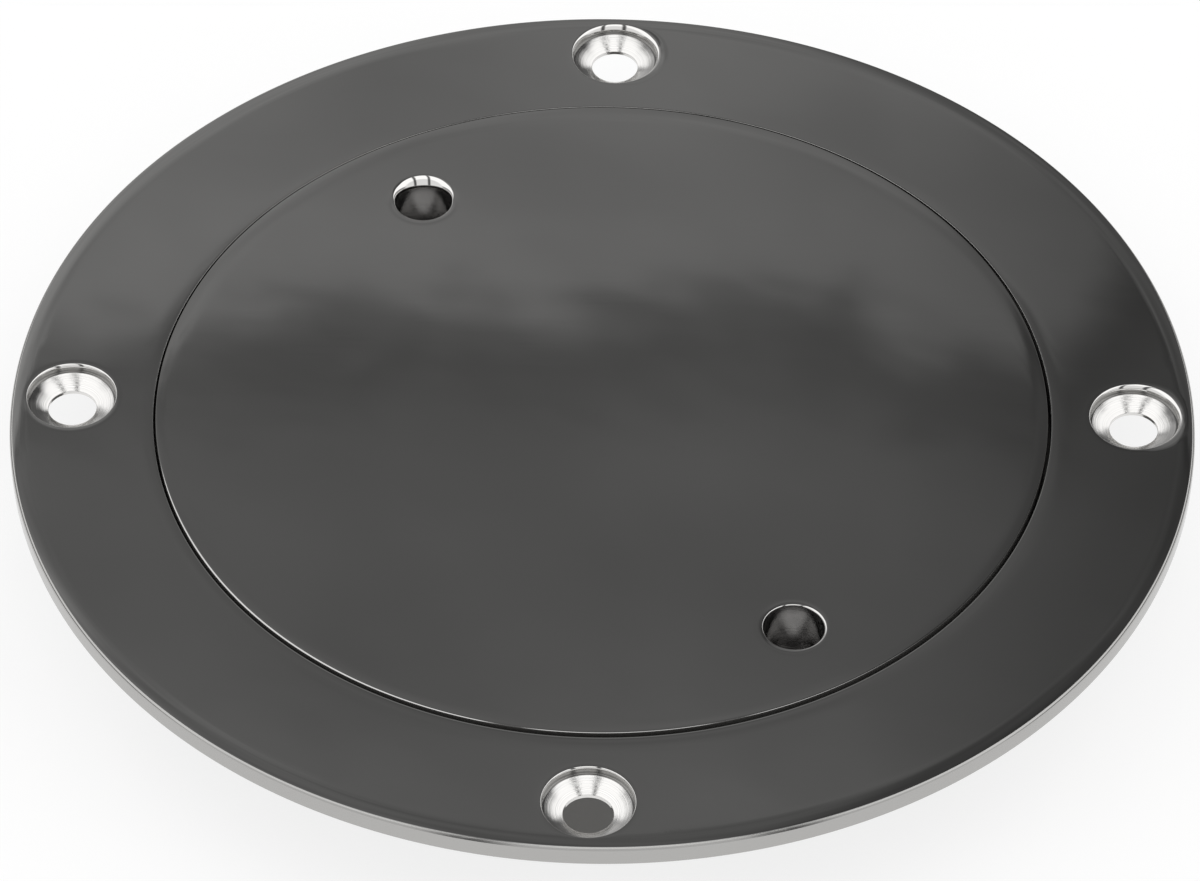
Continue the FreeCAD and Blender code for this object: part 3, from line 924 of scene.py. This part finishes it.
def added(value, more):
    """One output plus another output or a number."""
    return add_node(sky, "ShaderNodeMath", {0: value, 1: more}, operation="ADD").outputs[0]


def blend_of(share, first, second):
    """The first output where share is 0 and the second where it is 1."""
    mix = add_node(sky, "ShaderNodeMix", {0: share, 2: first, 3: second}, data_type="FLOAT")
    return mix.outputs[0]


direction = add_node(sky, "ShaderNodeTexCoord").outputs["Generated"]
across, away, climb = add_node(sky, "ShaderNodeSeparateXYZ", {0: direction}).outputs[:]
elevation = add_node(sky, "ShaderNodeMath", {0: climb}, operation="ARCSINE").outputs[0]
elevation = scaled(elevation, 180 / math.pi)
aside = add_node(sky, "ShaderNodeMath", {0: across}, operation="ABSOLUTE").outputs[0]


def cloud(length, height, detail):
    """A noise whose clouds, of this length and height as directions, rise slowly to the right."""
    slanted = add_node(
        sky, "ShaderNodeMapping",
        {"Vector": direction, "Rotation": (0, -0.16, 0), "Scale": (length, length, height)},
        vector_type="TEXTURE",
    )
    noise = add_node(
        sky, "ShaderNodeTexNoise", {"Vector": slanted.outputs[0], "Scale": 1.0, "Detail": detail}
    )
    return noise.outputs["Fac"]


# By how many degrees the bank's upper edge lies lower: by direction, where one is added so that no
# level is below zero, then by a slow drift and by thin streaks.
sway = graded(across, [
    (-0.3, 1), (-0.15, 1), (-0.095, 0.78), (-0.075, 0.92), (-0.033, 0.92), (0.003, 0.98),
    (0.024, 1.11), (0.03, 0.76), (0.05, 0.61), (0.056, 0.75), (0.063, 1.45), (0.072, 1.9),
    (0.1, 1.7), (0.15, 1), (0.3, 1),
])
drift = scaled(added(cloud(0.04, 0.017, 2.0), -0.5), 0.8)
streaks = scaled(added(cloud(0.013, 0.0013, 4.0), -0.5), 1.5)
cloudy = added(added(added(added(elevation, sway), drift), streaks), -1.0)
mottled = added(scaled(cloud(0.07, 0.03, 3.0), 0.6), 0.7)
# The room's sides are dull low down and bright above, and it is even behind the camera.
walls = graded(elevation, [(0, 0.3), (20, 0.3), (26, 1.2), (60, 1.25), (90, 1.25)])
behind_camera = graded(away, [(-1, 1), (-0.35, 1), (-0.15, 0), (1, 0)])
room = blend_of(behind_camera, walls, 0.85)
# From the floor up: the bank, which ends at 43 degrees, the dark part, and from 64 the panels.
screen = graded(cloudy, [
    (0, 0.3), (20, 0.3), (25, 0.22), (41, 0.235), (42.3, 0.2), (43, 0.222), (43.39, 0.2),
    (43.5, 0.17), (43.65, 0.11), (43.77, 0.089), (44.2, 0.107), (44.8, 0.135), (45.8, 0.127),
    (46.7, 0.134), (48.2, 0.17), (50, 0.13), (62, 0.12), (64, 1.25), (90, 1.25),
])
left_to_right = graded(across, [
    (-0.3, 1.7), (-0.2, 1.5), (-0.13, 1.15), (-0.085, 1.2), (-0.055, 1), (0, 1), (0.03, 0.92),
    (0.05, 0.74), (0.065, 0.59), (0.08, 0.52), (0.1, 0.55), (0.14, 0.42), (0.3, 0.42),
])
below_panels = graded(elevation, [(0, 1), (61, 1), (64, 0), (90, 0)])
screen = scaled(screen, blend_of(below_panels, 1.0, scaled(left_to_right, mottled)))
# A gap is told by how far round a direction lies from the one that the flat top mirrors, in degrees
# about the upright, so it stands upright in every rounded edge. The screen hides the gaps.
round_to = add_node(
    sky, "ShaderNodeMath", {0: added(across, 0.015), 1: added(scaled(away, -1.0), 0.713)},
    operation="ARCTAN2",
)
gaps = graded(scaled(round_to.outputs[0], 180 / math.pi), [
    (-180, 1), (-15, 1), (-13.2, 0.12), (-9.3, 0.12), (-7.5, 1), (15.5, 1), (17.3, 0.12),
    (21.2, 0.12), (23, 1), (180, 1),
])
screen_width = graded(aside, [(0, 1), (0.34, 1), (0.42, 0), (1, 0)])
screen_depth = graded(away, [(-1, 0), (0.42, 0), (0.5, 1), (1, 1)])
screened = scaled(screen_width, screen_depth)
studio_light = blend_of(screened, room, screen)
studio_light = scaled(studio_light, blend_of(scaled(screened, below_panels), gaps, 1.0))
# The camera itself sees plain white beyond the floor.
studio = add_node(sky, "ShaderNodeBackground", {"Color": studio_light, "Strength": 1.0})
white = add_node(sky, "ShaderNodeBackground", {"Color": (1, 1, 1, 1), "Strength": 1.0})
camera_ray = add_node(sky, "ShaderNodeLightPath").outputs["Is Camera Ray"]
seen_sky = add_node(
    sky, "ShaderNodeMixShader", {0: camera_ray, 1: studio.outputs[0], 2: white.outputs[0]}
)
add_node(sky, "ShaderNodeOutputWorld", {"Surface": seen_sky.outputs[0]})

# Camera. A long lens, 44 degrees above the plate's top and a hair to the right of its middle,
# rolled by a third of a degree.
VIEW_DISTANCE = 772.1
VIEW_ELEVATION = math.radians(44.47)
VIEW_AZIMUTH = math.radians(1.2)
VIEW_ROLL = 0.0058
AIM_RIGHT = -0.284
AIM_UP = -4.0
plate_centre = np.array([0, 0, plate_top])
level_back = np.array([math.sin(VIEW_AZIMUTH), -math.cos(VIEW_AZIMUTH), 0])
back = level_back * math.cos(VIEW_ELEVATION) + np.array([0, 0, math.sin(VIEW_ELEVATION)])
level_right = np.array([math.cos(VIEW_AZIMUTH), math.sin(VIEW_AZIMUTH), 0])
level_up = np.cross(back, level_right)
right = level_right + VIEW_ROLL * level_up
up = level_up - VIEW_ROLL * level_right
eye = plate_centre + VIEW_DISTANCE * back
aim = plate_centre + AIM_RIGHT * right + AIM_UP * up
back = (eye - aim) / np.linalg.norm(eye - aim)
right = np.cross(up, back) / np.linalg.norm(np.cross(up, back))
up = np.cross(back, right)
camera_data = bpy.data.cameras.new("camera")
camera_data.sensor_width = 36
camera_data.lens = 195.8
camera_data.clip_start = 0.05
camera_data.clip_end = 50
camera = bpy.data.objects.new("camera", camera_data)
bpy.context.scene.collection.objects.link(camera)
turn = Matrix([list(row) for row in np.stack([right, up, back], axis=1)]).to_4x4()
camera.matrix_world = Matrix.Translation(Vector(eye * MM)) @ turn
bpy.context.scene.camera = camera
bpy.context.scene.view_settings.view_transform = "Standard"
